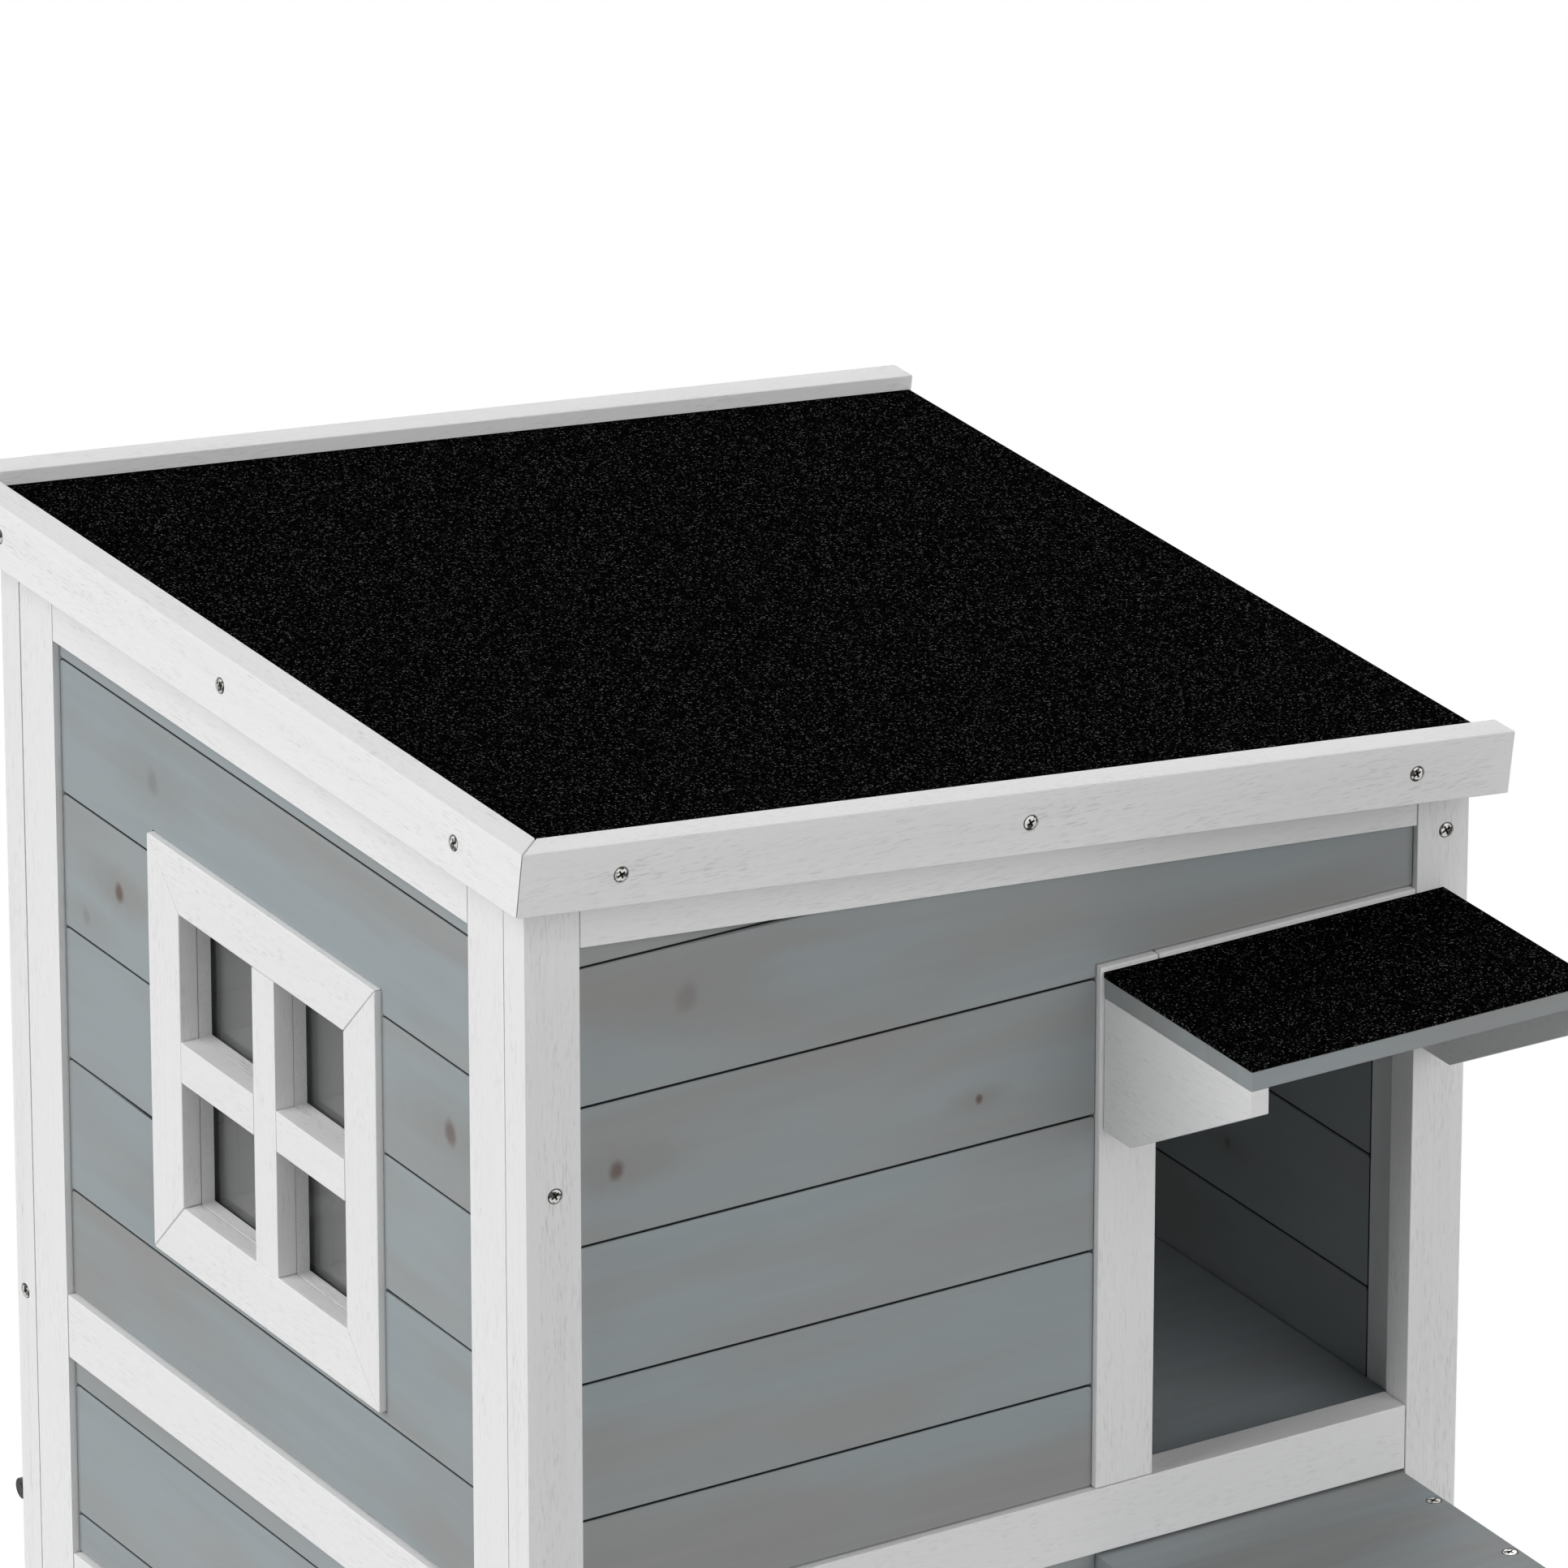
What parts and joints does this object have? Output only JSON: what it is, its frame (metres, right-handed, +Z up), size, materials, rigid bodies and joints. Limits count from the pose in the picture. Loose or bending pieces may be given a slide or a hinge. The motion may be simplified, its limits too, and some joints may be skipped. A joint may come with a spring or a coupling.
{
  "type": "cat house",
  "caption": "Two-storey timber cat house with a mono-pitch lid roof, a mullioned window, an awning and a landing platform at the upper doorway, and a bolted back door.",
  "frame": {"origin": "on the ground, under the middle of the bounding box of the whole house", "axes": "+Z up; +X along the front to the right, down the fall of the roof; +Y from the front, with the doorway, awning and platform, to the back"},
  "size_m": [0.5792, 0.7022, 0.9091],
  "materials": {
    "white_wood": "white paint, satin, grain showing through",
    "grey_wood": "grey stain, satin",
    "roofing_felt": "bitumen felt, rough, fine light specks",
    "nickel": "nickel plated",
    "black_iron": "black, satin",
    "clear_pane": "clear, slightly smoky",
    "seal": "matt black"
  },
  "bodies": {
    "house": {"front_left_stile": "white_wood", "front_right_stile": "white_wood", "front_top_rail": "white_wood", "front_mid_rail": "white_wood", "front_bottom_rail": "white_wood", "door_stile": "white_wood", "door_header": "white_wood", "left_stiles": "white_wood", "left_top_rail": "white_wood", "left_mid_rail": "white_wood", "left_header_rail": "white_wood", "left_bottom_rail": "white_wood", "lower_door_stiles": "white_wood", "window_casing_top": "white_wood", "window_casing_bottom": "white_wood", "window_casing_front": "white_wood", "window_casing_back": "white_wood", "window_muntins": "white_wood", "window_inner_frame": "white_wood", "right_stiles": "white_wood", "right_rails": "white_wood", "back_stiles": "white_wood", "back_rails": "white_wood", "floor_cleats": "white_wood", "awning_brackets": "white_wood", "platform_brackets": "white_wood", "front_boards_upper": "grey_wood", "front_boards_lower": "grey_wood", "left_boards_upper": "grey_wood", "left_boards_lower": "grey_wood", "right_boards": "grey_wood", "back_boards_upper": "grey_wood", "upper_floor": "grey_wood", "lower_floor": "grey_wood", "awning_board": "grey_wood", "platform_board": "grey_wood", "awning_felt": "roofing_felt", "wall_screws": "nickel", "hinge_screws": "nickel", "roof_hinge_fixed": "nickel", "door_hinge_fixed": "nickel", "hinge_pins": "nickel", "bolt_guide": "black_iron", "window_pane": "clear_pane", "window_seal": "seal"},
    "roof_lid": {"roof_deck": "grey_wood", "roof_felt": "roofing_felt", "fascia_front": "white_wood", "fascia_back": "white_wood", "fascia_left": "white_wood", "roof_battens": "white_wood", "roof_screws": "nickel", "roof_hinge_moving": "nickel"},
    "back_door": {"back_door_frame": "white_wood", "back_door_boards": "grey_wood", "back_door_screws": "nickel", "door_hinge_moving": "nickel", "bolt_keeper": "black_iron"},
    "bolt": {"bolt_rod": "black_iron"}
  },
  "joints": [
    {"name": "roof_lid_hinge", "type": "hinge", "parent": "house", "child": "roof_lid", "pos_m": [0.28593, 0.05765, 0.81266], "axis": [0, 1, 0], "range_deg": [0, 95]},
    {"name": "back_door_hinge", "type": "hinge", "parent": "house", "child": "back_door", "pos_m": [0.25093, 0.3243, 0.25], "axis": [0, 0, -1], "range_deg": [0, 160]},
    {"name": "bolt_slide", "type": "slide", "parent": "house", "child": "bolt", "axis": [1, 0, 0], "range_m": [0, 0.008]}
  ]
}
